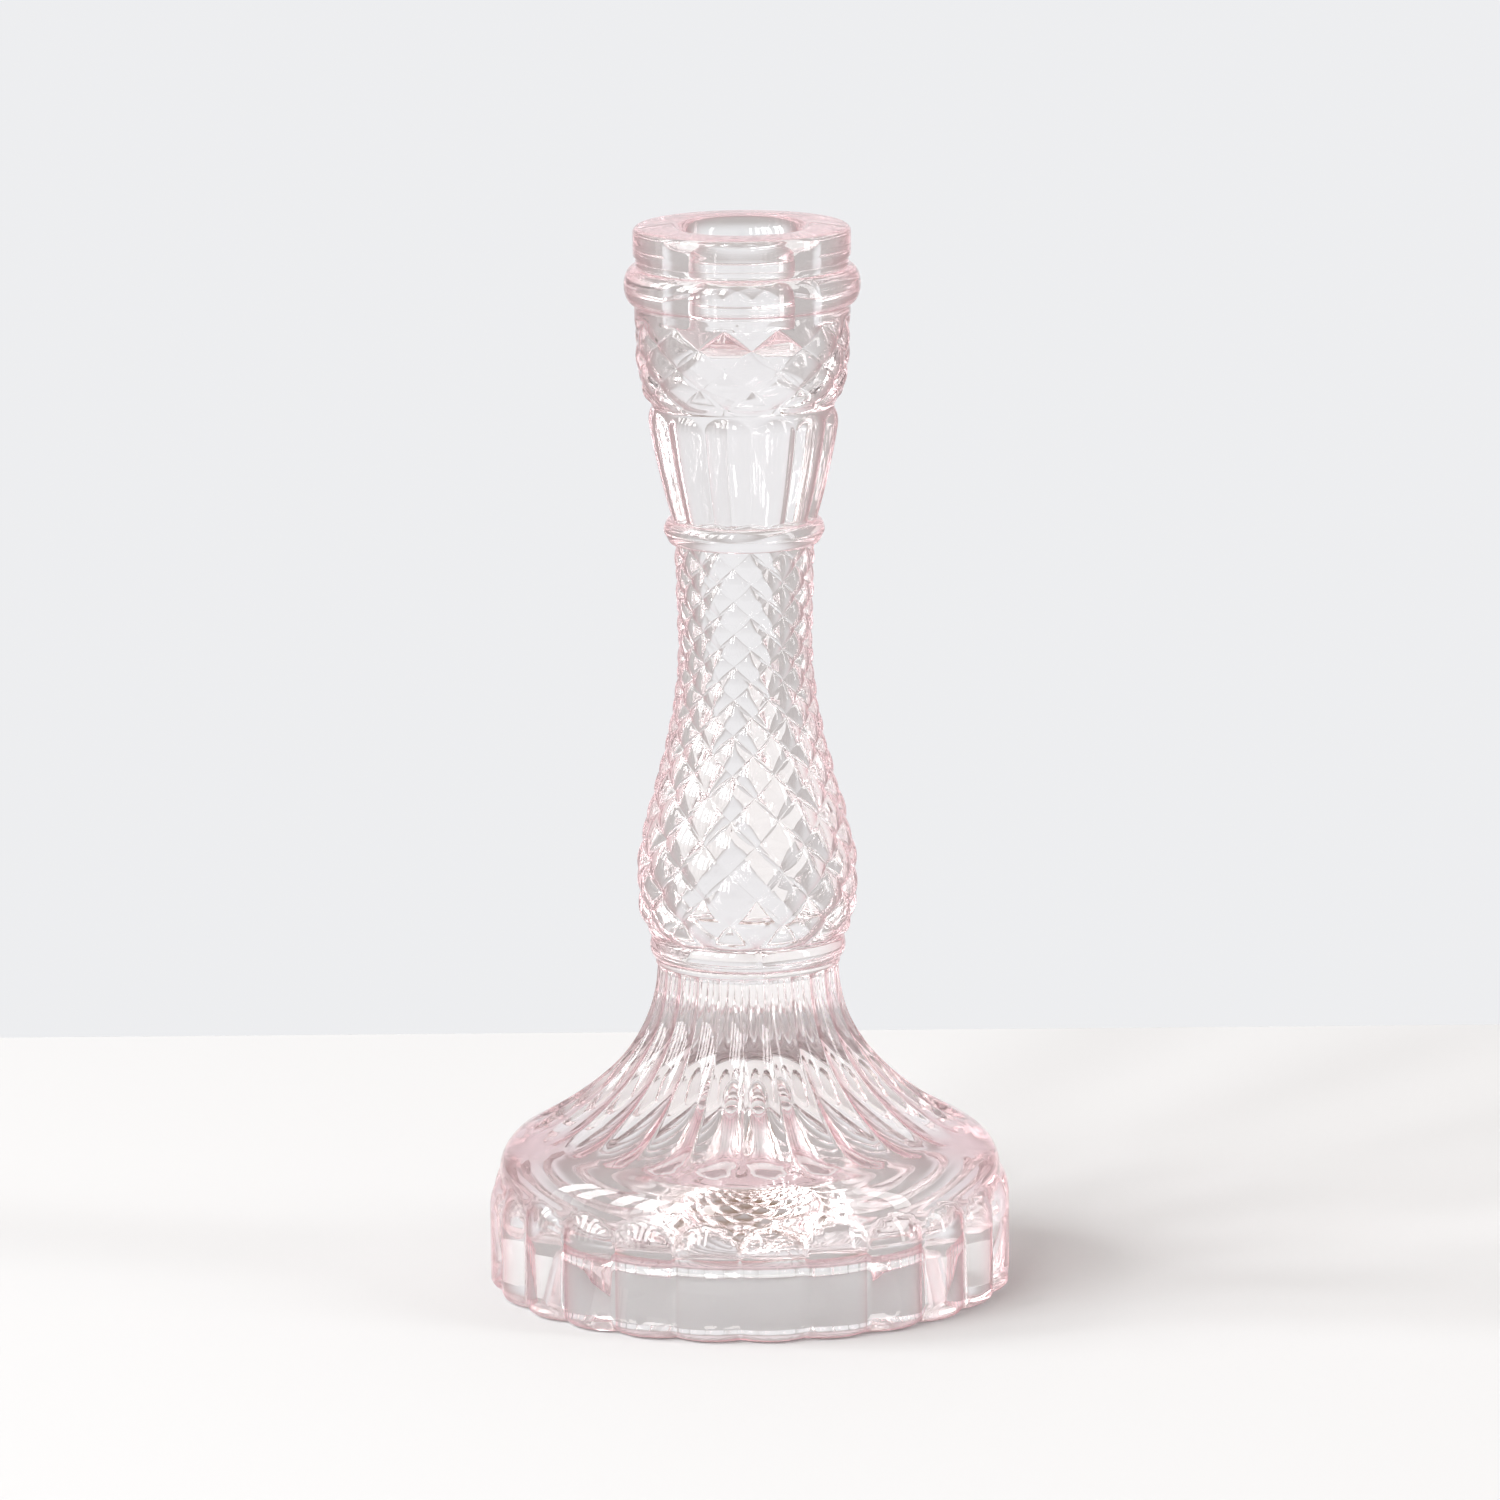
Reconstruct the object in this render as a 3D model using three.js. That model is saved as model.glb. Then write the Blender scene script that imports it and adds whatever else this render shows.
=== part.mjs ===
// Pressed-glass candlestick, stacked from the named sections of its mould.
// Millimetres, +Z up. The origin is on the axis, on the plane that the foot stands on.
import * as THREE from 'three';

// Heights of the sections, from the foot up.
const SKIRT_HEIGHT = 25;
const DOME_HEIGHT = 45.6;
const FOOT_COLLAR_HEIGHT = 6.6;
const STEM_HEIGHT = 85;
const CUP_COLLAR_HEIGHT = 5;
const REEDS_HEIGHT = 25.3;
const BAND_HEIGHT = 21;
const RIM_BEAD_HEIGHT = 8;
const LIP_HEIGHT = 8.5;

// Outer radii, each at the widest or the narrowest place of its section.
const SKIRT_RADIUS = 53.9;
const WAIST_RADIUS = 19.4;
const FOOT_RING_RADIUS = 19.8;
const FOOT_COLLAR_RADIUS = 21;
const STEM_FOOT_RADIUS = 20.8;
const BULB_RADIUS = 23.9;
const NECK_RADIUS = 14.5;
const STEM_TOP_RADIUS = 15.1;
const CUP_COLLAR_RADIUS = 17.2;
const CUP_FOOT_RADIUS = 15.6;
const REEDS_RADIUS = 20.7;
const NOTCH_RADIUS = 19.8;
const CUP_RADIUS = 23;
const RIM_BEAD_RADIUS = 25.2;
const LIP_RADIUS = 23.2;

// Rounded edges, and the handles of the long curves.
const SKIRT_ROUNDING = 2.2;
const SHOULDER_WIDTH = 9.7;
const SHOULDER_RISE = 9.2;
const SHOULDER_SLOPE = THREE.MathUtils.degToRad(30);
const SHOULDER_HANDLE = 9.2;
const WAIST_HANDLE = 22.3;
const FOOT_RING_HEIGHT = 1.3;
const BULB_RISE = 12.3;
const BULB_HANDLE = 13;
const NECK_DROP = 21.2;
const NECK_HANDLE = 22.5;
const COLLAR_CHAMFER = 2.1;
const REED_FOOT_HANDLE = 4.8;
const REED_TIP_HANDLE = 5.1;
const NOTCH_HEIGHT = 1;
const BAND_ROUND_WIDTH = 3;
const BAND_ROUND_HEIGHT = 13.5;
const LIP_STEP_HEIGHT = 2;
const LIP_STEP_DEPTH = 0.5;
const LIP_ROUNDING = 1.3;

// The socket, for a plain 22 mm candle, with a flared mouth.
const SOCKET_RADIUS = 11.2;
const SOCKET_DEPTH = 25.5;
const SOCKET_MOUTH_RADIUS = 15.1;
const SOCKET_MOUTH_DEPTH = 5;
const SOCKET_FLOOR_ROUNDING = 2;

// The hollow under the foot: a short wall, a rounded corner and a wide cone with a round top.
const FOOT_RIM_WIDTH = 6.2;
const HOLLOW_DRAFT = 1;
const HOLLOW_WALL_HEIGHT = 11.5;
const HOLLOW_CORNER_WIDTH = 6;
const HOLLOW_CORNER_RISE = 6;
const HOLLOW_SLOPE = THREE.MathUtils.degToRad(27);
const HOLLOW_SLOPE_HANDLE = 14;
const HOLLOW_TOP_RADIUS = 6;
const HOLLOW_TOP_HANDLE = 5;
const HOLLOW_HEIGHT = 40;

// The relief. It repeats twelve times round the cup and the stem, and twice as often round the foot.
const REPEATS = 12;
const STEM_ROWS = 20;
const BULB_ROWS = 9;
const STEM_RELIEF = 0.05; // of the stem's radius
const BAND_ROWS = 4;
const BAND_ROW_HEIGHT = 4.3;
const BAND_RELIEF = 1.1;
const REED_RELIEF = 0.06; // of the cup's radius
const REED_TIP_LENGTH = 3;
const FLUTE_RELIEF = 0.045; // of the dome's radius
const FLUTE_TIP_RADIUS = 47.3;
const FLUTE_TIP_LENGTH = 9;
const LOBE_RELIEF = 2.3;
const LOBE_ARCH_HEIGHT = 7;

// How finely the round shapes are cut: columns in one repeat, and steps along an outline.
const DIAMOND_COLUMNS = 2;
const ROUND_COLUMNS = 4;
const REED_COLUMNS = 4;
const FLUTE_COLUMNS = 8;
const CURVE_STEPS = 6;
const BEAD_STEPS = 6;
const ROUNDING_STEPS = 2;

const TURN = 2 * Math.PI;
const REPEAT_TURN = TURN / REPEATS;
const FLUTE_TURN = REPEAT_TURN / 2;

const DOME_BASE = SKIRT_HEIGHT;
const FOOT_COLLAR_BASE = DOME_BASE + DOME_HEIGHT;
const STEM_BASE = FOOT_COLLAR_BASE + FOOT_COLLAR_HEIGHT;
const CUP_COLLAR_BASE = STEM_BASE + STEM_HEIGHT;
const REEDS_BASE = CUP_COLLAR_BASE + CUP_COLLAR_HEIGHT;
const BAND_BASE = REEDS_BASE + REEDS_HEIGHT;
const RIM_BEAD_BASE = BAND_BASE + BAND_HEIGHT;
const LIP_BASE = RIM_BEAD_BASE + RIM_BEAD_HEIGHT;
const TOP = LIP_BASE + LIP_HEIGHT;
const SOCKET_FLOOR = TOP - SOCKET_DEPTH;

const { clamp, lerp } = THREE.MathUtils;

// A point of an outline: its radius and its height.
const at = (r, z) => new THREE.Vector2(r, z);

// A stretch of an ellipse between two angles in quarter turns, where 0 faces out and 1 faces up.
function arc(centre, width, height, from, to, steps = ROUNDING_STEPS) {
  const quarter = Math.PI / 2;
  const turned = [from * quarter, to * quarter];
  return new THREE.EllipseCurve(centre.x, centre.y, width, height, ...turned, to < from).getPoints(steps);
}

// A round bead between two heights, standing out from one radius to another.
function bead(inside, outside, low, high) {
  const half = (high - low) / 2;
  return arc(at(inside, low + half), outside - inside, half, -1, 1, BEAD_STEPS);
}

// A curve between two points, with a handle from each.
function sweep(start, startHandle, endHandle, end) {
  const handles = [start.clone().add(startHandle), end.clone().add(endHandle)];
  return new THREE.CubicBezierCurve(start, ...handles, end).getPoints(CURVE_STEPS);
}

// Runs of points joined end to end, with no point twice.
function join(...runs) {
  return runs.flat().filter((p, i, all) => i === 0 || p.distanceTo(all[i - 1]) > 1e-6);
}

// The radius at height z of a run that rises.
function radiusAt(run, z) {
  const above = clamp(run.findIndex((p) => p.y >= z), 1, run.length - 1);
  const [low, high] = [run[above - 1], run[above]];
  return lerp(low.x, high.x, (z - low.y) / (high.y - low.y));
}

// The part of a rising run between two heights.
function between(run, low, high) {
  const inside = run.filter((p) => p.y > low && p.y < high);
  return join([at(radiusAt(run, low), low)], inside, [at(radiusAt(run, high), high)]);
}

const glass = new THREE.MeshStandardMaterial({ name: 'rose_glass', roughness: 0.04, metalness: 0 });
glass.color.setRGB(0.93, 0.8, 0.79);

const candlestick = new THREE.Group();
candlestick.name = 'glass_candlestick';

// Turns one section about the axis. `outer` runs from the bottom up. `inner` runs from the top down,
// back to the start or, where the section has a floor, to the axis. relief(turn, point, row) is how
// far the outer wall stands out: square to it, or level on an upright wall and at the joints to the
// next sections. crossed(column, row) says which cells fold along their other diagonal.
function addSection(name, { outer, inner, columns, relief, upright = false, crossed = () => false }) {
  const floored = inner.at(-1).x === 0;
  const outline = floored ? [inner.at(-1), ...outer, ...inner.slice(0, -1)] : [...outer, ...inner, outer[0]];
  const first = floored ? 1 : 0;
  const count = outline.length;
  const segments = columns * REPEATS;
  const geometry = new THREE.LatheGeometry(outline, segments);
  const { position } = geometry.attributes;
  for (let column = 0; column <= segments; column += 1) {
    const turn = (column % segments) * (TURN / segments);
    outer.forEach((point, row) => {
      const level = upright || row === 0 || row === outer.length - 1;
      const along = level ? at(0, 1) : outer[row + 1].clone().sub(outer[row - 1]).normalize();
      const place = at(along.y, -along.x).multiplyScalar(relief(turn, point, row)).add(point);
      const vertex = column * count + first + row;
      const closing = row === 0 && !floored ? [vertex, vertex + count - 1] : [vertex];
      closing.forEach((v) => position.setXYZ(v, place.x * Math.sin(turn), place.y, place.x * Math.cos(turn)));
    });
  }
  const index = [];
  for (let column = 0; column < segments; column += 1) {
    for (let row = 0; row < count - 1; row += 1) {
      const a = column * count + row;
      const [b, c, d] = [a + count, a + count + 1, a + 1];
      index.push(...(crossed(column, row - first) ? [a, b, c, a, c, d] : [a, b, d, c, d, b]));
    }
  }
  geometry.setIndex(index);
  geometry.rotateX(Math.PI / 2);
  geometry.computeVertexNormals();
  const mesh = new THREE.Mesh(geometry, glass);
  mesh.name = name;
  candlestick.add(mesh);
}

const smooth = () => 0;

// How far round a turn is from the middle of its repeat: 0 in the middle and 1 at the two sides.
function sideways(turn, width, middle = 0) {
  const share = (turn - middle) / width;
  return 2 * Math.abs(share - Math.round(share));
}

// How far a value has run into an end that starts somewhere: 0 before it and 1 at its tip.
const intoTip = (value, start, length) => Math.max(0, (value - start) / length);

// A bell: a round shoulder that turns in from upright to a slope, and a sweep up from there to an end.
function bell({ foot, width, rise, slope, slopeHandle, endHandle, end }) {
  const turned = Math.atan2(rise, width * Math.tan(slope)) / (Math.PI / 2);
  const shoulder = arc(at(foot.x - width, foot.y), width, rise, 0, turned);
  const upTheSlope = at(-Math.cos(slope), Math.sin(slope)).multiplyScalar(slopeHandle);
  return join(shoulder, sweep(shoulder.at(-1), upTheSlope, at(0, -endHandle), end));
}

// Foot: the lobed skirt on its flat ground rim, and the fluted dome above it, both hollow underneath.
const hollowMouth = at(SKIRT_RADIUS - FOOT_RIM_WIDTH, 0);
const hollowTop = at(HOLLOW_TOP_RADIUS, HOLLOW_HEIGHT - HOLLOW_TOP_RADIUS);
const hollow = join(
  [hollowMouth],
  bell({
    foot: at(hollowMouth.x - HOLLOW_DRAFT, HOLLOW_WALL_HEIGHT),
    width: HOLLOW_CORNER_WIDTH,
    rise: HOLLOW_CORNER_RISE,
    slope: HOLLOW_SLOPE,
    slopeHandle: HOLLOW_SLOPE_HANDLE,
    endHandle: HOLLOW_TOP_HANDLE,
    end: hollowTop,
  }),
  arc(at(0, hollowTop.y), HOLLOW_TOP_RADIUS, HOLLOW_TOP_RADIUS, 0, 1),
);
hollow.at(-1).x = 0;

const archFoot = SKIRT_HEIGHT - LOBE_ARCH_HEIGHT;
addSection('foot_skirt', {
  outer: join(
    arc(at(SKIRT_RADIUS - SKIRT_ROUNDING, SKIRT_ROUNDING), SKIRT_ROUNDING, SKIRT_ROUNDING, -1, 0),
    [0, 0.5, 0.8, 1].map((share) => at(SKIRT_RADIUS, archFoot + share * LOBE_ARCH_HEIGHT)),
  ),
  inner: between(hollow, 0, DOME_BASE).reverse(),
  columns: FLUTE_COLUMNS,
  upright: true,
  relief: (turn, { y }) => {
    const side = sideways(turn, FLUTE_TURN);
    return LOBE_RELIEF * Math.max(0, 1 - side ** 2 - intoTip(y, archFoot, LOBE_ARCH_HEIGHT) ** 2);
  },
});
addSection('foot_dome', {
  outer: bell({
    foot: at(SKIRT_RADIUS, DOME_BASE),
    width: SHOULDER_WIDTH,
    rise: SHOULDER_RISE,
    slope: SHOULDER_SLOPE,
    slopeHandle: SHOULDER_HANDLE,
    endHandle: WAIST_HANDLE,
    end: at(WAIST_RADIUS, FOOT_COLLAR_BASE),
  }),
  inner: [at(0, FOOT_COLLAR_BASE), ...between(hollow, DOME_BASE, HOLLOW_HEIGHT).reverse()],
  columns: FLUTE_COLUMNS,
  relief: (turn, { x }) => {
    const side = sideways(turn, FLUTE_TURN);
    const tip = intoTip(x, FLUTE_TIP_RADIUS - FLUTE_TIP_LENGTH, FLUTE_TIP_LENGTH);
    return -FLUTE_RELIEF * x * Math.max(0, 1 - side ** 2 - tip ** 2);
  },
});

// Foot collar: a thin step ring under a round bead.
const footBeadBase = FOOT_COLLAR_BASE + FOOT_RING_HEIGHT;
addSection('foot_collar', {
  outer: join(
    [at(FOOT_RING_RADIUS, FOOT_COLLAR_BASE)],
    bead(FOOT_RING_RADIUS, FOOT_COLLAR_RADIUS, footBeadBase, STEM_BASE),
  ),
  inner: [at(0, STEM_BASE), at(0, FOOT_COLLAR_BASE)],
  columns: ROUND_COLUMNS,
  relief: smooth,
});

// Stem: a bulb that draws in to a straight neck, cut all over with flat-sided diamonds. At the height
// of each row a peak and a valley take turns round the stem, and they swap places from row to row.
const isValley = (column, row) => (column + row) % 2 === 0;
const bulbHeight = STEM_BASE + BULB_RISE;
const narrowest = at(NECK_RADIUS, CUP_COLLAR_BASE - NECK_DROP);
const stem = join(
  arc(at(STEM_FOOT_RADIUS, bulbHeight), BULB_RADIUS - STEM_FOOT_RADIUS, BULB_RISE, -1, 0, CURVE_STEPS),
  sweep(at(BULB_RADIUS, bulbHeight), at(0, BULB_HANDLE), at(0, -NECK_HANDLE), narrowest),
  [at(STEM_TOP_RADIUS, CUP_COLLAR_BASE)],
);

// The heights of the rows, spaced in proportion to the radius, so that every diamond has one shape.
function diamondRows(run, rows) {
  const slices = 400;
  const [bottom, top] = [run[0].y, run.at(-1).y];
  const climb = [0];
  for (let i = 0; i < slices; i += 1) {
    climb.push(climb[i] + 1 / radiusAt(run, lerp(bottom, top, (i + 0.5) / slices)));
  }
  return Array.from({ length: rows + 1 }, (_, row) => {
    const wanted = (climb[slices] * row) / rows;
    const above = row === rows ? slices : Math.max(1, climb.findIndex((c) => c >= wanted));
    const part = (wanted - climb[above - 1]) / (climb[above] - climb[above - 1]);
    const z = lerp(bottom, top, (above - 1 + part) / slices);
    return at(radiusAt(run, z), z);
  });
}

const stemRows = diamondRows(stem, STEM_ROWS);
const stemSections = [
  ['stem_bulb', 0, BULB_ROWS],
  ['stem_neck', BULB_ROWS, STEM_ROWS],
];
for (const [name, low, high] of stemSections) {
  addSection(name, {
    outer: stemRows.slice(low, high + 1),
    inner: [at(0, stemRows[high].y), at(0, stemRows[low].y)],
    columns: DIAMOND_COLUMNS,
    relief: (turn, { x }, row) => {
      const column = Math.round(turn / FLUTE_TURN);
      return isValley(column, low + row) ? -STEM_RELIEF * x : 0;
    },
    crossed: (column, row) => isValley(column, low + row),
  });
}

// Cup collar: a round shoulder that chamfers in to the stem.
addSection('cup_collar', {
  outer: join(
    [at(CUP_COLLAR_RADIUS - COLLAR_CHAMFER / 2, CUP_COLLAR_BASE)],
    arc(
      at(CUP_FOOT_RADIUS, CUP_COLLAR_BASE + COLLAR_CHAMFER),
      CUP_COLLAR_RADIUS - CUP_FOOT_RADIUS, CUP_COLLAR_HEIGHT - COLLAR_CHAMFER, 0, 1,
    ),
  ),
  inner: [at(0, REEDS_BASE), at(0, CUP_COLLAR_BASE)],
  columns: ROUND_COLUMNS,
  relief: smooth,
});

// Cup reeds: twelve convex reeds that widen up to rounded tips under a notch.
const notchBase = BAND_BASE - NOTCH_HEIGHT;
const reedTip = at(REEDS_RADIUS, notchBase - NOTCH_HEIGHT);
addSection('cup_reeds', {
  outer: join(
    sweep(
      at(CUP_FOOT_RADIUS, REEDS_BASE), at(REED_FOOT_HANDLE / 3, REED_FOOT_HANDLE), at(0, -REED_TIP_HANDLE), reedTip,
    ),
    [at(NOTCH_RADIUS, notchBase), at(NOTCH_RADIUS, BAND_BASE)],
  ),
  inner: [at(0, BAND_BASE), at(0, REEDS_BASE)],
  columns: REED_COLUMNS,
  relief: (turn, { x, y }) => {
    const tip = intoTip(y, reedTip.y - REED_TIP_LENGTH, notchBase - reedTip.y + REED_TIP_LENGTH);
    return -REED_RELIEF * x * Math.max(0, sideways(turn, REPEAT_TURN, REPEAT_TURN / 2) ** 2 - tip ** 2);
  },
});

// Cup band: three rows of diamonds that interlock, cut flush into the wall under a plain strip. The
// floor of the socket lies in it.
const bandTop = BAND_BASE + NOTCH_HEIGHT + BAND_ROWS * BAND_ROW_HEIGHT;
const roundedBase = bandTop - BAND_ROW_HEIGHT;
const bandRows = Array.from({ length: BAND_ROWS + 1 }, (_, row) => {
  const z = BAND_BASE + NOTCH_HEIGHT + row * BAND_ROW_HEIGHT;
  const drop = clamp((roundedBase - z) / BAND_ROUND_HEIGHT, 0, 1);
  return at(CUP_RADIUS - BAND_ROUND_WIDTH * (1 - Math.sqrt(1 - drop ** 2)), z);
});
addSection('cup_band', {
  outer: join(
    [at(NOTCH_RADIUS, BAND_BASE)],
    bandRows,
    [at(CUP_RADIUS, bandTop + NOTCH_HEIGHT / 2), at(CUP_RADIUS, RIM_BEAD_BASE)],
  ),
  inner: [
    at(SOCKET_RADIUS, RIM_BEAD_BASE),
    ...arc(
      at(SOCKET_RADIUS - SOCKET_FLOOR_ROUNDING, SOCKET_FLOOR + SOCKET_FLOOR_ROUNDING),
      SOCKET_FLOOR_ROUNDING, SOCKET_FLOOR_ROUNDING, 0, -1,
    ),
    at(0, SOCKET_FLOOR),
    at(0, BAND_BASE),
  ],
  columns: ROUND_COLUMNS,
  relief: (turn, point, row) => {
    const column = turn / FLUTE_TURN;
    const level = row - 1;
    if (level < 0 || level > BAND_ROWS) return 0;
    const peak = (Math.round(column) + level) % 2 === 0;
    if (column % 1 !== 0) return -BAND_RELIEF / 2;
    return peak ? 0 : -BAND_RELIEF;
  },
  crossed: (column, row) => {
    const level = row - 1;
    return level >= 0 && level < BAND_ROWS && (Math.floor(column / 2) + level) % 2 === 1;
  },
});

// Rim bead and lip: two rings round the socket, with a thin step between them.
addSection('rim_bead', {
  outer: bead(CUP_RADIUS, RIM_BEAD_RADIUS, RIM_BEAD_BASE, LIP_BASE),
  inner: [at(SOCKET_RADIUS, LIP_BASE), at(SOCKET_RADIUS, RIM_BEAD_BASE)],
  columns: ROUND_COLUMNS,
  relief: smooth,
});
addSection('socket_lip', {
  outer: join(
    [at(LIP_RADIUS - LIP_STEP_DEPTH, LIP_BASE), at(LIP_RADIUS - LIP_STEP_DEPTH, LIP_BASE + LIP_STEP_HEIGHT)],
    [at(LIP_RADIUS, LIP_BASE + LIP_STEP_HEIGHT + LIP_STEP_DEPTH)],
    arc(at(LIP_RADIUS - LIP_ROUNDING, TOP - LIP_ROUNDING), LIP_ROUNDING, LIP_ROUNDING, 0, 1),
  ),
  inner: [
    ...arc(
      at(SOCKET_MOUTH_RADIUS, TOP - SOCKET_MOUTH_DEPTH),
      SOCKET_MOUTH_RADIUS - SOCKET_RADIUS, SOCKET_MOUTH_DEPTH, 1, 2,
    ),
    at(SOCKET_RADIUS, LIP_BASE),
  ],
  columns: ROUND_COLUMNS,
  relief: smooth,
});

export default candlestick;
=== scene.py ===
import math
import bpy
import numpy as np
from mathutils import Matrix, Vector


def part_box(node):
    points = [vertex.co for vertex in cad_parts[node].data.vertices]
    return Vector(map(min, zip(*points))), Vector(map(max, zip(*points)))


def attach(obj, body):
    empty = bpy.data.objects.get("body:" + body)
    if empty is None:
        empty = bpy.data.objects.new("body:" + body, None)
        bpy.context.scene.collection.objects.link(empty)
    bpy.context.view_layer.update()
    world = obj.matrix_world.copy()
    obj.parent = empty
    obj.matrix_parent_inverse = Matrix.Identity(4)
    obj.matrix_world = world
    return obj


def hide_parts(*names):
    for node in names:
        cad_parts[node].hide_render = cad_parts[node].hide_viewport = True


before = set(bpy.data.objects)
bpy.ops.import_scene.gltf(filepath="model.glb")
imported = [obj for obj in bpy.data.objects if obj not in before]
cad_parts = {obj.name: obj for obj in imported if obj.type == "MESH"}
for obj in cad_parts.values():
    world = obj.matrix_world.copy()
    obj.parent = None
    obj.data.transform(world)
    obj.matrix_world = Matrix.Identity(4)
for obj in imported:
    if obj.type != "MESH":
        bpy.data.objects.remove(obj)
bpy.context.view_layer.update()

# Foot skirt. The upright wall of the foot: twenty-four convex lobes with arched tops, pressed in one
# with the rest of the glass, standing on a rim that is ground flat.
# The whole candlestick is one skin of rings, laid one above the other from the rim up to the lip.
mm = 0.001
REPEATS = 12
FLUTES = 2 * REPEATS
# Columns crowd towards the two edges of a cell, where the creases of the pattern lie.
CELL_SHARES = np.array([0, 0.05, 0.14, 0.3, 0.5, 0.7, 0.86, 0.95, 1])
CELL = math.tau / FLUTES
cell_starts = np.repeat(np.arange(FLUTES), len(CELL_SHARES) - 1)
cell_shares = np.tile(CELL_SHARES[:-1], FLUTES)
diamond_turns = (cell_starts + cell_shares) * CELL
flute_turns = np.sort((diamond_turns + CELL / 2) % math.tau)
COLUMNS = len(diamond_turns)

skin = []
folds = []
PLAIN_FOLD = np.zeros(COLUMNS, bool)


def lay_ring(turns, radii, heights, fold=PLAIN_FOLD):
    """Adds a ring to the skin. The fold says which of its cells are split along the rising diagonal."""
    heights = np.broadcast_to(heights, COLUMNS)
    skin.append(np.stack([radii * np.sin(turns), -radii * np.cos(turns), heights], axis=1))
    folds.append(fold)


def arc(centre, width, height, start, end, steps):
    """A stretch of an ellipse between two angles in degrees, where 0 faces out and 90 faces up."""
    angles = np.radians(np.linspace(start, end, steps + 1))
    return np.stack([centre[0] + width * np.cos(angles), centre[1] + height * np.sin(angles)], axis=1)


def sweep(start, start_handle, end_handle, end, steps):
    """A curve between two points of an outline, with a handle from each."""
    t = np.linspace(0, 1, steps + 1)[:, None]
    a, d = np.array(start, float), np.array(end, float)
    b, c = a + start_handle, d + end_handle
    return (1 - t) ** 3 * a + 3 * (1 - t) ** 2 * t * b + 3 * (1 - t) * t**2 * c + t**3 * d


def line(start, end, steps):
    """A straight stretch of an outline."""
    return np.linspace(start, end, steps + 1)


def press(outline, turns, relief, upright=False):
    """Lays an outline's rings, standing out from it by the relief, square to the wall or level."""
    along = np.gradient(outline, axis=0)
    along /= np.linalg.norm(along, axis=1, keepdims=True)
    for (r, z), (inwards, up) in zip(outline, along):
        out = (1, 0) if upright else (up, -inwards)
        height = relief(turns, r, z)
        lay_ring(turns, r + out[0] * height, z + out[1] * height)


def sideways(turns, width, middle=0.0):
    """How far a turn is from the middle of its repeat: 0 in the middle and 1 at the two sides."""
    share = (turns - middle) / width
    return 2 * np.abs(share - np.round(share))


def into_tip(value, start, length):
    """How far a value has run into an end: 0 before it starts and 1 at its tip."""
    return max(0.0, (value - start) / length)


skirt_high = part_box("foot_skirt")[1]
LOBE_RELIEF = 2.3 * mm
LOBE_ARCH_HEIGHT = 7 * mm
SKIRT_ROUNDING = 2.2 * mm
skirt_radius = skirt_high.y - LOBE_RELIEF
arch_foot = skirt_high.z - LOBE_ARCH_HEIGHT


def lobe(turns, r, z):
    tip = into_tip(z, arch_foot, LOBE_ARCH_HEIGHT)
    return LOBE_RELIEF * np.maximum(0, 1 - sideways(turns, CELL) ** 2 - tip**2)


rounding_centre = (skirt_radius - SKIRT_ROUNDING, SKIRT_ROUNDING)
skirt_corner = arc(rounding_centre, SKIRT_ROUNDING, SKIRT_ROUNDING, -90, 0, 8)
skirt_wall = line((skirt_radius, SKIRT_ROUNDING), (skirt_radius, arch_foot), 8)
skirt_arches = line((skirt_radius, arch_foot), (skirt_radius, skirt_high.z), 16)
press(np.vstack([skirt_corner, skirt_wall[1:], skirt_arches[1:]]), flute_turns, lobe, upright=True)

# Foot dome. The foot draws in over a round shoulder and sweeps up to the waist, scooped out by
# twenty-four hollow flutes that meet in sharp ridges and end in rounded tips on the shoulder.
SHOULDER_WIDTH = 9.7 * mm
SHOULDER_RISE = 9.2 * mm
SHOULDER_SLOPE = math.radians(30)
SHOULDER_HANDLE = 9.2 * mm
WAIST_HANDLE = 22.3 * mm
FLUTE_RELIEF = 0.045
FLUTE_TIP_RADIUS = 47.3 * mm
FLUTE_TIP_LENGTH = 9 * mm
WAIST_RADIUS = 19.4 * mm
dome_low, dome_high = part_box("foot_dome")


def bell(foot, width, rise, slope, slope_handle, end, end_handle):
    """A round shoulder that turns in from upright to a slope, then a sweep from there to an end."""
    turned = math.degrees(math.atan2(rise, width * math.tan(slope)))
    shoulder = arc((foot[0] - width, foot[1]), width, rise, 0, turned, 12)
    up_the_slope = slope_handle * np.array([-math.cos(slope), math.sin(slope)])
    return np.vstack([shoulder, sweep(shoulder[-1], up_the_slope, (0, -end_handle), end, 44)[1:]])


def flute(turns, r, z):
    tip = into_tip(r, FLUTE_TIP_RADIUS - FLUTE_TIP_LENGTH, FLUTE_TIP_LENGTH)
    return -FLUTE_RELIEF * r * np.maximum(0, 1 - sideways(turns, CELL) ** 2 - tip**2)


dome = bell(
    (skirt_radius, dome_low.z), SHOULDER_WIDTH, SHOULDER_RISE, SHOULDER_SLOPE,
    SHOULDER_HANDLE, (WAIST_RADIUS, dome_high.z), WAIST_HANDLE,
)
press(dome[1:], flute_turns, flute)

# Foot collar. A round bead over a thin step ring, where the foot joins the stem.
FOOT_RING_RADIUS = 19.8 * mm
FOOT_RING_HEIGHT = 1.3 * mm
RING_ROUNDING = 0.25 * mm
collar_low, collar_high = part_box("foot_collar")


def plain(turns, r, z):
    return 0 * turns


def ring_step(radius, low, high, rounding):
    """The upright edge of a thin ring, with its two corners rounded."""
    inside = radius - rounding
    return np.vstack([
        arc((inside, low + rounding), rounding, rounding, -90, 0, 2),
        arc((inside, high - rounding), rounding, rounding, 0, 90, 2),
    ])


def bead(inside, outside, low, high, steps):
    """A round bead that stands out between two heights."""
    half = (high - low) / 2
    return arc((inside, low + half), outside - inside, half, -90, 90, steps)


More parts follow.
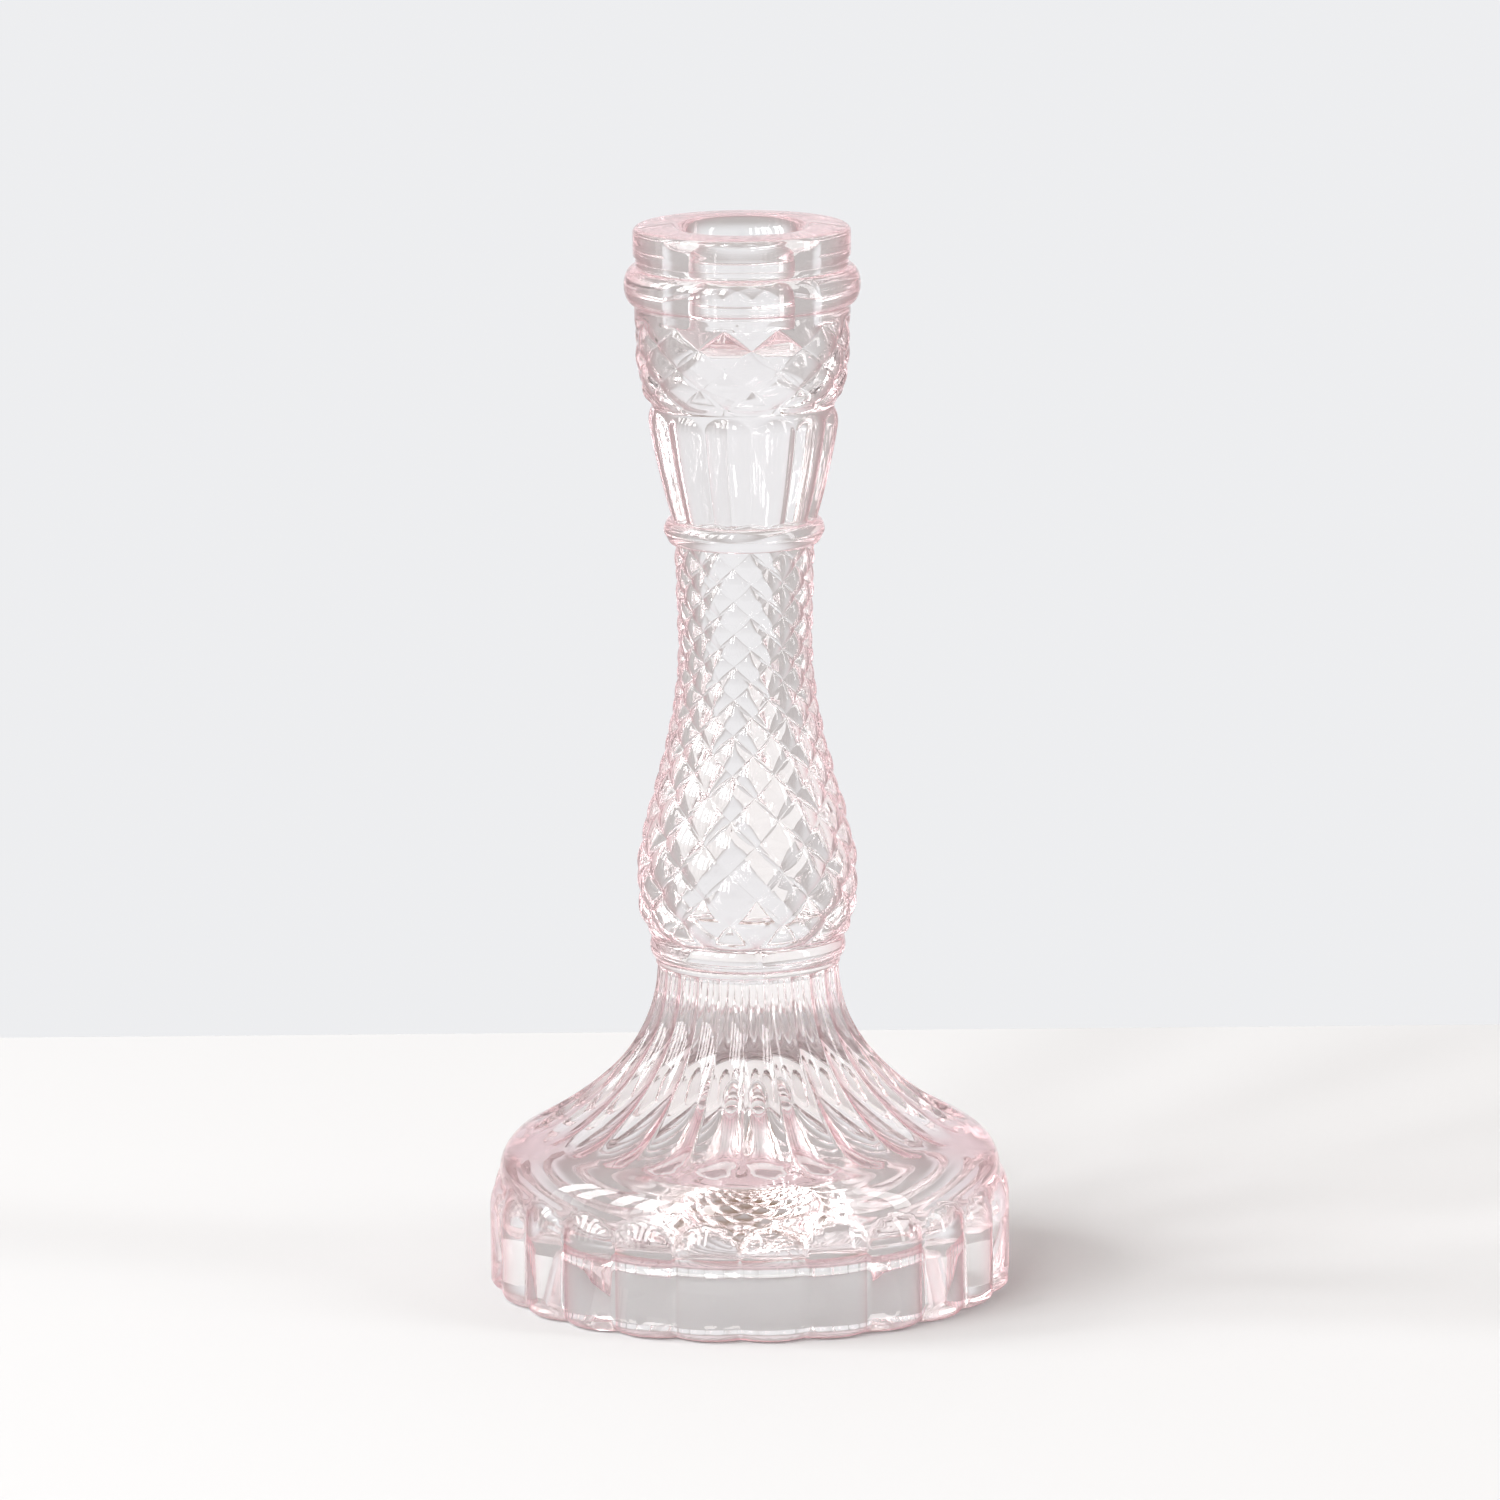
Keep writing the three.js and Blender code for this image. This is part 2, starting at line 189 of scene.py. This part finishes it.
bead_base = collar_low.z + FOOT_RING_HEIGHT
press(
    np.vstack([
        ring_step(FOOT_RING_RADIUS, collar_low.z, bead_base, RING_ROUNDING),
        bead(FOOT_RING_RADIUS - RING_ROUNDING, collar_high.x, bead_base, collar_high.z, 12),
    ]),
    diamond_turns,
    plain,
)

# Stem. A bulb that draws in to a straight neck, covered all over with pillowed diamonds, twelve to
# the round, in rows that interlock. Their height follows the stem's radius, so they keep their shape.
STEM_FOOT_RADIUS = 20.8 * mm
BULB_RADIUS = 23.9 * mm
BULB_RISE = 12.3 * mm
BULB_HANDLE = 13 * mm
NECK_RADIUS = 14.5 * mm
NECK_HANDLE = 22.5 * mm
NECK_DROP = 21.2 * mm
STEM_TOP_RADIUS = 15.1 * mm
STEM_ROWS = 20
STEM_RELIEF = 0.075
stem_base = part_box("stem_bulb")[0].z
stem_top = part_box("stem_neck")[1].z
bulb_height = stem_base + BULB_RISE
narrowest = (NECK_RADIUS, stem_top - NECK_DROP)
stem = np.vstack([
    arc((STEM_FOOT_RADIUS, bulb_height), BULB_RADIUS - STEM_FOOT_RADIUS, BULB_RISE, -90, 0, 60),
    sweep((BULB_RADIUS, bulb_height), (0, BULB_HANDLE), (0, -NECK_HANDLE), narrowest, 200)[1:],
    line(narrowest, (STEM_TOP_RADIUS, stem_top), 60)[1:],
])


def evenly_by_radius(outline, rows):
    """Heights up an outline, spaced in proportion to its radius."""
    r, z = outline.T
    climb = np.concatenate([[0], np.cumsum(np.diff(z) * (1 / r[:-1] + 1 / r[1:]) / 2)])
    return np.interp(np.linspace(0, climb[-1], rows + 1), climb, z)


def lay_diamonds(outline, heights, relief, first):
    """Lays rows of pillows over an outline. Their middles stand flush with it, and they meet in
    creases, deepest at the corners. Corners and middles take turns, and swap from row to row."""
    for row in range(len(heights) - 1):
        rises = (cell_starts + row + first) % 2 == 0
        last = row == len(heights) - 2
        for v in CELL_SHARES if last else CELL_SHARES[:-1]:
            z = heights[row] + v * (heights[row + 1] - heights[row])
            r = np.interp(z, outline[:, 1], outline[:, 0])
            mirrored = np.where(rises, 1 - cell_shares, cell_shares)
            beyond = mirrored + v > 1
            across = np.where(beyond, 1 - mirrored, mirrored)
            up = np.where(beyond, 1 - v, v)
            lay_ring(diamond_turns, r - relief(r) * (across**2 + up**2), z, rises)


lay_diamonds(stem, evenly_by_radius(stem, STEM_ROWS), lambda r: STEM_RELIEF * r, first=0)

# Cup collar. A round shoulder under the cup, chamfered in to the stem.
COLLAR_CHAMFER = 2.1 * mm
COLLAR_EDGE_HEIGHT = 0.2 * mm
COLLAR_FOOT_SHARE = 0.6
COLLAR_EDGE_SHARE = 0.5
CUP_FOOT_RADIUS = 15.6 * mm
cup_collar_low, cup_collar_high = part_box("cup_collar")
collar_radius = cup_collar_high.x
collar_edge = cup_collar_low.z + COLLAR_CHAMFER
underside = line(
    (STEM_TOP_RADIUS, cup_collar_low.z),
    (collar_radius - COLLAR_FOOT_SHARE * COLLAR_CHAMFER, cup_collar_low.z),
    3,
)
chamfer = line(
    (collar_radius - COLLAR_EDGE_SHARE * COLLAR_CHAMFER, cup_collar_low.z + COLLAR_EDGE_HEIGHT),
    (collar_radius - COLLAR_EDGE_SHARE * COLLAR_EDGE_HEIGHT, collar_edge),
    4,
)
collar_shoulder = arc(
    (CUP_FOOT_RADIUS, collar_edge + COLLAR_EDGE_HEIGHT),
    collar_radius - CUP_FOOT_RADIUS,
    cup_collar_high.z - collar_edge - COLLAR_EDGE_HEIGHT,
    0, 90, 10,
)
press(np.vstack([underside[1:], chamfer, collar_shoulder]), diamond_turns, plain)

# Cup reeds. Twelve convex reeds that widen up the cup and end in rounded tips under a notch.
REEDS_RADIUS = 20.7 * mm
REED_RELIEF = 0.06
REED_TIP_LENGTH = 4 * mm
REED_FOOT_HANDLE = 4.8 * mm
REED_TIP_HANDLE = 5.1 * mm
NOTCH_RADIUS = 19.8 * mm
NOTCH_HEIGHT = 1 * mm
NOTCH_CORNER_DEPTH = 0.3 * mm
NOTCH_CORNER_HEIGHT = 0.2 * mm
reeds_low, reeds_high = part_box("cup_reeds")
notch_base = reeds_high.z - NOTCH_HEIGHT
REPEAT_TURN = math.tau / REPEATS


def reed(turns, r, z):
    tip = into_tip(z, notch_base - REED_TIP_LENGTH, REED_TIP_LENGTH)
    across = sideways(turns, REPEAT_TURN, REPEAT_TURN / 2)
    return -REED_RELIEF * r * np.minimum(1, across**2 + tip**2)


reeds = sweep(
    (CUP_FOOT_RADIUS, reeds_low.z),
    (REED_FOOT_HANDLE / 3, REED_FOOT_HANDLE),
    (0, -REED_TIP_HANDLE),
    (REEDS_RADIUS, notch_base),
    40,
)
press(reeds[1:], diamond_turns, reed)
notch = line(
    (NOTCH_RADIUS - NOTCH_CORNER_DEPTH, notch_base + NOTCH_CORNER_HEIGHT),
    (NOTCH_RADIUS, reeds_high.z),
    3,
)
press(notch, diamond_turns, plain)

# Cup band. Three rows of rounded diamonds that interlock, pressed flush into the wall of the cup under
# a plain strip. A whole diamond spans two of the rows that it is laid in.
BAND_ROWS = 4
BAND_ROW_HEIGHT = 4.3 * mm
BAND_RELIEF = 1.1 * mm
BAND_ROUND_WIDTH = 3 * mm
BAND_ROUND_HEIGHT = 13.5 * mm
BAND_STEPS = 8
STRIP_GAP = 0.4 * mm
band_low, band_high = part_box("cup_band")
band_base = band_low.z + NOTCH_HEIGHT
cup_radius = band_high.x
rounded_base = band_base + (BAND_ROWS - 1) * BAND_ROW_HEIGHT
band_top = band_base + BAND_ROWS * BAND_ROW_HEIGHT
band_heights = np.linspace(band_base, band_top, BAND_ROWS * BAND_STEPS + 1)
drop = np.clip((rounded_base - band_heights) / BAND_ROUND_HEIGHT, 0, 1)
band_wall = np.stack([cup_radius - BAND_ROUND_WIDTH * (1 - np.sqrt(1 - drop**2)), band_heights], axis=1)
lay_diamonds(band_wall, band_heights[::BAND_STEPS], lambda r: BAND_RELIEF, first=1)
strip = line((cup_radius, band_top + STRIP_GAP), (cup_radius, band_high.z), 3)
press(strip, diamond_turns, plain)

# Rim bead and lip. A round bead and a plain lip round the mouth of the socket, with a thin step between.
LIP_STEP_HEIGHT = 2 * mm
LIP_STEP_DEPTH = 0.5 * mm
LIP_ROUNDING = 1.3 * mm
STEP_GAP = 0.1 * mm
rim_low, rim_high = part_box("rim_bead")
lip_low, lip_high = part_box("socket_lip")
lip_radius = lip_high.x
step_radius = lip_radius - LIP_STEP_DEPTH
step_top = lip_low.z + LIP_STEP_HEIGHT
rounding_start = lip_high.z - LIP_ROUNDING
rim_and_lip = np.vstack([
    bead(cup_radius, rim_high.x, rim_low.z, rim_high.z, 18)[1:],
    line((step_radius, rim_high.z + STEP_GAP), (step_radius, step_top), 3),
    line((lip_radius, step_top + LIP_STEP_DEPTH), (lip_radius, rounding_start), 3),
    arc((lip_radius - LIP_ROUNDING, rounding_start), LIP_ROUNDING, LIP_ROUNDING, 0, 90, 8)[1:],
])
press(rim_and_lip, diamond_turns, plain)

# Socket. A straight round bore for a plain 22 mm candle, with a flared mouth and a rounded floor.
SOCKET_RADIUS = 11.2 * mm
SOCKET_DEPTH = 25.5 * mm
SOCKET_MOUTH_RADIUS = 15.1 * mm
SOCKET_MOUTH_DEPTH = 5 * mm
SOCKET_FLOOR_ROUNDING = 2 * mm
SOCKET_MIDDLE_RADIUS = 0.5 * mm
socket_floor = lip_high.z - SOCKET_DEPTH
mouth_base = lip_high.z - SOCKET_MOUTH_DEPTH
corner_radius = SOCKET_RADIUS - SOCKET_FLOOR_ROUNDING
corner_top = socket_floor + SOCKET_FLOOR_ROUNDING
flare = SOCKET_MOUTH_RADIUS - SOCKET_RADIUS
socket = np.vstack([
    arc((SOCKET_MOUTH_RADIUS, mouth_base), flare, SOCKET_MOUTH_DEPTH, 90, 180, 12),
    line((SOCKET_RADIUS, mouth_base), (SOCKET_RADIUS, corner_top), 8)[1:],
    arc((corner_radius, corner_top), SOCKET_FLOOR_ROUNDING, SOCKET_FLOOR_ROUNDING, 0, -90, 6)[1:],
    line((corner_radius, socket_floor), (SOCKET_MIDDLE_RADIUS, socket_floor), 5)[1:],
])
press(socket, diamond_turns, plain)
top_rings = len(skin)

# Foot hollow. The underside of the foot: a flat ground rim, a short wall, and a wide cone with rounded
# corners that rises into the dome. It is smooth, as the plunger left it.
FOOT_RIM_WIDTH = 6.2 * mm
HOLLOW_DRAFT = 1 * mm
HOLLOW_WALL_HEIGHT = 11.5 * mm
HOLLOW_CORNER_WIDTH = 6 * mm
HOLLOW_CORNER_RISE = 6 * mm
HOLLOW_SLOPE = math.radians(27)
HOLLOW_SLOPE_HANDLE = 14 * mm
HOLLOW_TOP_RADIUS = 6 * mm
HOLLOW_TOP_HANDLE = 5 * mm
HOLLOW_HEIGHT = 40 * mm
HOLLOW_LAST_ANGLE = 86
mouth_radius = skirt_radius - FOOT_RIM_WIDTH
wall_top = (mouth_radius - HOLLOW_DRAFT, HOLLOW_WALL_HEIGHT)
cone_top = (HOLLOW_TOP_RADIUS, HOLLOW_HEIGHT - HOLLOW_TOP_RADIUS)
cone = bell(
    wall_top, HOLLOW_CORNER_WIDTH, HOLLOW_CORNER_RISE, HOLLOW_SLOPE,
    HOLLOW_SLOPE_HANDLE, cone_top, HOLLOW_TOP_HANDLE,
)
hollow = np.vstack([
    line((mouth_radius, 0), wall_top, 4),
    cone[1:],
    arc((0, cone_top[1]), HOLLOW_TOP_RADIUS, HOLLOW_TOP_RADIUS, 0, HOLLOW_LAST_ANGLE, 10)[1:],
])
press(hollow[::-1], flute_turns, plain)
skin = skin[top_rings:] + skin[:top_rings]
folds = folds[top_rings:] + folds[:top_rings]

# The glass. One closed piece of clear glass, pressed in a mould and fire polished. Its faint rose
# deepens where light grazes the skin or runs a long way through it.
low_pole = len(skin) * COLUMNS
high_pole = low_pole + 1
points = np.vstack([*skin, [[0, 0, HOLLOW_HEIGHT]], [[0, 0, socket_floor]]])
column = np.arange(COLUMNS)
after = (column + 1) % COLUMNS
faces = [np.stack([np.full(COLUMNS, low_pole), after, column], 1)]
for ring in range(len(skin) - 1):
    a, b = ring * COLUMNS + column, ring * COLUMNS + after
    d, c = a + COLUMNS, b + COLUMNS
    rises = folds[ring][:, None]
    faces.append(np.where(rises, np.stack([a, b, c], 1), np.stack([a, b, d], 1)))
    faces.append(np.where(rises, np.stack([a, c, d], 1), np.stack([c, d, b], 1)))
last = (len(skin) - 1) * COLUMNS
faces.append(np.stack([last + column, last + after, np.full(COLUMNS, high_pole)], 1))

mesh = bpy.data.meshes.new("candlestick_glass")
mesh.from_pydata(points.tolist(), [], np.vstack(faces).tolist())
mesh.validate()
mesh.shade_smooth()
glass = bpy.data.objects.new("candlestick_glass", mesh)
bpy.context.scene.collection.objects.link(glass)

CLEAR = (1, 0.995, 0.995, 1)
EDGE_ROSE = (0.82, 0.42, 0.46, 1)
DEEP_ROSE = (0.93, 0.55, 0.56, 1)
ROSE_PER_METRE = 1.2
GRAZING_RANGE = (0.2, 0.8)
SWELL_DEPTH = 0.03 * mm
SWELLS_PER_METRE = 110
SWELL_DETAIL = 1.5
SMUDGES_PER_METRE = 28
SMUDGE_DETAIL = 4
SMUDGE_RANGE = (0.5, 0.8)
SMUDGE_ROUGHNESS = 0.04
GROUND_ROUGHNESS = 0.35
GROUND_LOW = 0.1 * mm
GROUND_HIGH = 0.4 * mm
rose = bpy.data.materials.new("pressed_rose_glass")
rose.use_nodes = True
nodes, links = rose.node_tree.nodes, rose.node_tree.links
shader = nodes["Principled BSDF"]
shader.inputs["IOR"].default_value = 1.5
shader.inputs["Transmission Weight"].default_value = 1.0


def remap(nodes, links, value, before, now=(0, 1), easing="LINEAR"):
    """A value moved from one range into another, and held inside it."""
    ranged = nodes.new("ShaderNodeMapRange")
    ranged.interpolation_type = easing
    links.new(value, ranged.inputs["Value"])
    for name, number in zip(("From Min", "From Max", "To Min", "To Max"), (*before, *now)):
        ranged.inputs[name].default_value = number
    return ranged.outputs["Result"]


def noise(place, scale, detail):
    cloud = nodes.new("ShaderNodeTexNoise")
    cloud.inputs["Scale"].default_value = scale
    cloud.inputs["Detail"].default_value = detail
    links.new(place, cloud.inputs["Vector"])
    return cloud.outputs["Fac"]


# Rays that graze the skin come through with more of the rose.
weight = nodes.new("ShaderNodeLayerWeight")
weight.inputs["Blend"].default_value = 0.5
skin_colour = nodes.new("ShaderNodeMix")
skin_colour.data_type = "RGBA"
skin_colour.inputs["A"].default_value = CLEAR
skin_colour.inputs["B"].default_value = EDGE_ROSE
grazing = remap(nodes, links, weight.outputs["Facing"], GRAZING_RANGE, easing="SMOOTHSTEP")
links.new(grazing, skin_colour.inputs["Factor"])
links.new(skin_colour.outputs["Result"], shader.inputs["Base Color"])

# The mould leaves a faint swell on the skin.
on_glass = nodes.new("ShaderNodeTexCoord").outputs["Object"]
uneven = nodes.new("ShaderNodeBump")
uneven.inputs["Strength"].default_value = 1
uneven.inputs["Distance"].default_value = SWELL_DEPTH
links.new(noise(on_glass, SWELLS_PER_METRE, SWELL_DETAIL), uneven.inputs["Height"])
links.new(uneven.outputs["Normal"], shader.inputs["Normal"])

# Handling dulls it in places, and the rim that it stands on is ground matt.
height = nodes.new("ShaderNodeSeparateXYZ")
links.new(on_glass, height.inputs["Vector"])
smudges = noise(on_glass, SMUDGES_PER_METRE, SMUDGE_DETAIL)
dulled = remap(nodes, links, smudges, SMUDGE_RANGE, (0, SMUDGE_ROUGHNESS))
ground = remap(nodes, links, height.outputs["Z"], (GROUND_LOW, GROUND_HIGH), (GROUND_ROUGHNESS, 0))
gloss = nodes.new("ShaderNodeMath")
gloss.operation = "MAXIMUM"
links.new(dulled, gloss.inputs[0])
links.new(ground, gloss.inputs[1])
links.new(gloss.outputs["Value"], shader.inputs["Roughness"])

tint = nodes.new("ShaderNodeVolumeAbsorption")
tint.inputs["Color"].default_value = DEEP_ROSE
tint.inputs["Density"].default_value = ROSE_PER_METRE
links.new(tint.outputs["Volume"], nodes["Material Output"].inputs["Volume"])
glass.data.materials.append(rose)
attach(glass, "root")
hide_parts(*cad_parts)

# Stage. A plain pale table top whose back edge lies a little behind the foot, in a pale room.
FLOOR_BACK = 0.241
FLOOR_REACH = 1.5
FLOOR_TURN = math.radians(-5)
FLOOR_DROP = 0.3 * mm
FLOOR_COLOUR = (0.79, 0.81, 0.82, 1)
floor_corners = [
    (across * FLOOR_REACH, along, 0)
    for across, along in [(-1, -FLOOR_REACH), (1, -FLOOR_REACH), (1, FLOOR_BACK), (-1, FLOOR_BACK)]
]
floor_mesh = bpy.data.meshes.new("floor")
floor_mesh.from_pydata(floor_corners, [], [(0, 1, 2, 3)])
floor = bpy.data.objects.new("floor", floor_mesh)
bpy.context.scene.collection.objects.link(floor)
pale = bpy.data.materials.new("pale_floor")
pale.use_nodes = True
matt = pale.node_tree.nodes["Principled BSDF"]
matt.inputs["Base Color"].default_value = FLOOR_COLOUR
matt.inputs["Roughness"].default_value = 1
matt.inputs["Specular IOR Level"].default_value = 0
floor_mesh.materials.append(pale)
floor.rotation_euler.z = FLOOR_TURN
floor.location.z = -FLOOR_DROP

# The room beyond is a grey shade, with a pale wall behind the glass, a brown ceiling over the front and
# one small dark patch in front. Each is given by its azimuth, elevation, inner and outer angle and colour.
WALL = (0.85, 0.855, 0.87, 1)
ROOM_SHADE = (0.53, 0.50, 0.495, 1)
ROOM = [
    (175, 6, 14, 34, WALL),
    (-5, 72, 20, 42, (0.26, 0.16, 0.09, 1)),
    (-5, 14, 4, 8, (0.03, 0.03, 0.03, 1)),
]
room = bpy.data.worlds.new("room")
bpy.context.scene.world = room
room.use_nodes = True
nodes, links = room.node_tree.nodes, room.node_tree.links
direction = nodes.new("ShaderNodeTexCoord")


def mix_in(colour, share, other):
    """Lays another colour over the room's colour so far, by a share from 0 to 1."""
    layer = nodes.new("ShaderNodeMix")
    layer.data_type = "RGBA"
    links.new(share, layer.inputs["Factor"])
    links.new(colour, layer.inputs["A"])
    layer.inputs["B"].default_value = other
    return layer.outputs["Result"]


def patch(azimuth, elevation, inner, outer):
    """A round patch of the room, full inside one angle from its middle and gone outside another."""
    turn, rise = math.radians(azimuth), math.radians(elevation)
    towards = nodes.new("ShaderNodeVectorMath")
    towards.operation = "DOT_PRODUCT"
    towards.inputs[1].default_value = (
        math.sin(turn) * math.cos(rise), -math.cos(turn) * math.cos(rise), math.sin(rise),
    )
    links.new(direction.outputs["Generated"], towards.inputs[0])
    edges = [math.cos(math.radians(angle)) for angle in (outer, inner)]
    return remap(nodes, links, towards.outputs["Value"], edges, easing="SMOOTHSTEP")


shade = nodes.new("ShaderNodeRGB")
shade.outputs[0].default_value = ROOM_SHADE
room_colour = shade.outputs[0]
for azimuth, elevation, inner, outer, colour in ROOM:
    room_colour = mix_in(room_colour, patch(azimuth, elevation, inner, outer), colour)
seen = nodes.new("ShaderNodeLightPath")
links.new(mix_in(room_colour, seen.outputs["Is Camera Ray"], WALL), nodes["Background"].inputs["Color"])


# Tall bright panes stand in a half ring from beside the camera round to the left, with thin bars
# between them, dimmer in the lower row, and one narrow white board stands at the right.
LOW_PANES = [(-104, 8), (-90, 8), (-70, 9), (-56, 9)]
HIGH_PANES = [*LOW_PANES, (-41, 8), (-25, 6)]
BOARD = [(68, 9)]
WINDOW_DISTANCE = 6.0
LAMP_AIM = Vector((0, 0, 0.12))
LOW_RISE = (-16, 14)
HIGH_RISE = (17, 44)
BOARD_RISE = (-16, 45)


def softboxes(places, low, high, glow):
    """Bright panes between two elevations, each at its azimuth and as wide as its angle."""
    middle = math.radians((low + high) / 2)
    for azimuth, width in places:
        turn = math.radians(azimuth)
        outwards = Vector((
            math.sin(turn) * math.cos(middle), -math.cos(turn) * math.cos(middle), math.sin(middle),
        ))
        lamp_data = bpy.data.lights.new("pane", "AREA")
        lamp_data.shape = "RECTANGLE"
        lamp_data.size = 2 * WINDOW_DISTANCE * math.tan(math.radians(width / 2))
        lamp_data.size_y = 2 * WINDOW_DISTANCE * math.tan(math.radians((high - low) / 2))
        lamp_data.energy = glow * math.pi * lamp_data.size * lamp_data.size_y
        lamp = bpy.data.objects.new("pane", lamp_data)
        bpy.context.scene.collection.objects.link(lamp)
        lamp.location = LAMP_AIM + WINDOW_DISTANCE * outwards
        lamp.rotation_mode = "QUATERNION"
        lamp.rotation_quaternion = (-outwards).to_track_quat("-Z", "Y")
        lamp.visible_camera = False


softboxes(LOW_PANES, *LOW_RISE, glow=1.2)
softboxes(HIGH_PANES, *HIGH_RISE, glow=10.5)
softboxes(BOARD, *BOARD_RISE, glow=6)

# Camera. A long lens from a little above, in front and slightly to one side.
CAMERA_AZIMUTH = math.radians(-5)
CAMERA_DISTANCE = 2.220
CAMERA_HEIGHT = 0.5638
PITCH = math.radians(11.389)
YAW = math.radians(0.021)
ROLL = math.radians(-0.5)
lens = bpy.data.cameras.new("camera")
lens.lens = 254.06
lens.sensor_width = 36
lens.clip_end = 20
camera = bpy.data.objects.new("camera", lens)
bpy.context.scene.collection.objects.link(camera)
place = Vector((
    math.sin(CAMERA_AZIMUTH) * CAMERA_DISTANCE,
    -math.cos(CAMERA_AZIMUTH) * CAMERA_DISTANCE,
    CAMERA_HEIGHT,
))
turned = (
    Matrix.Rotation(CAMERA_AZIMUTH - YAW, 4, "Z")
    @ Matrix.Rotation(math.radians(90) - PITCH, 4, "X")
    @ Matrix.Rotation(ROLL, 4, "Z")
)
camera.matrix_world = Matrix.Translation(place) @ turned
bpy.context.scene.camera = camera

# Light has to pass through many faces of the glass.
bpy.context.scene.view_settings.view_transform = "Standard"
cycles = bpy.context.scene.cycles
cycles.max_bounces = 24
cycles.transmission_bounces = 24
cycles.glossy_bounces = 12
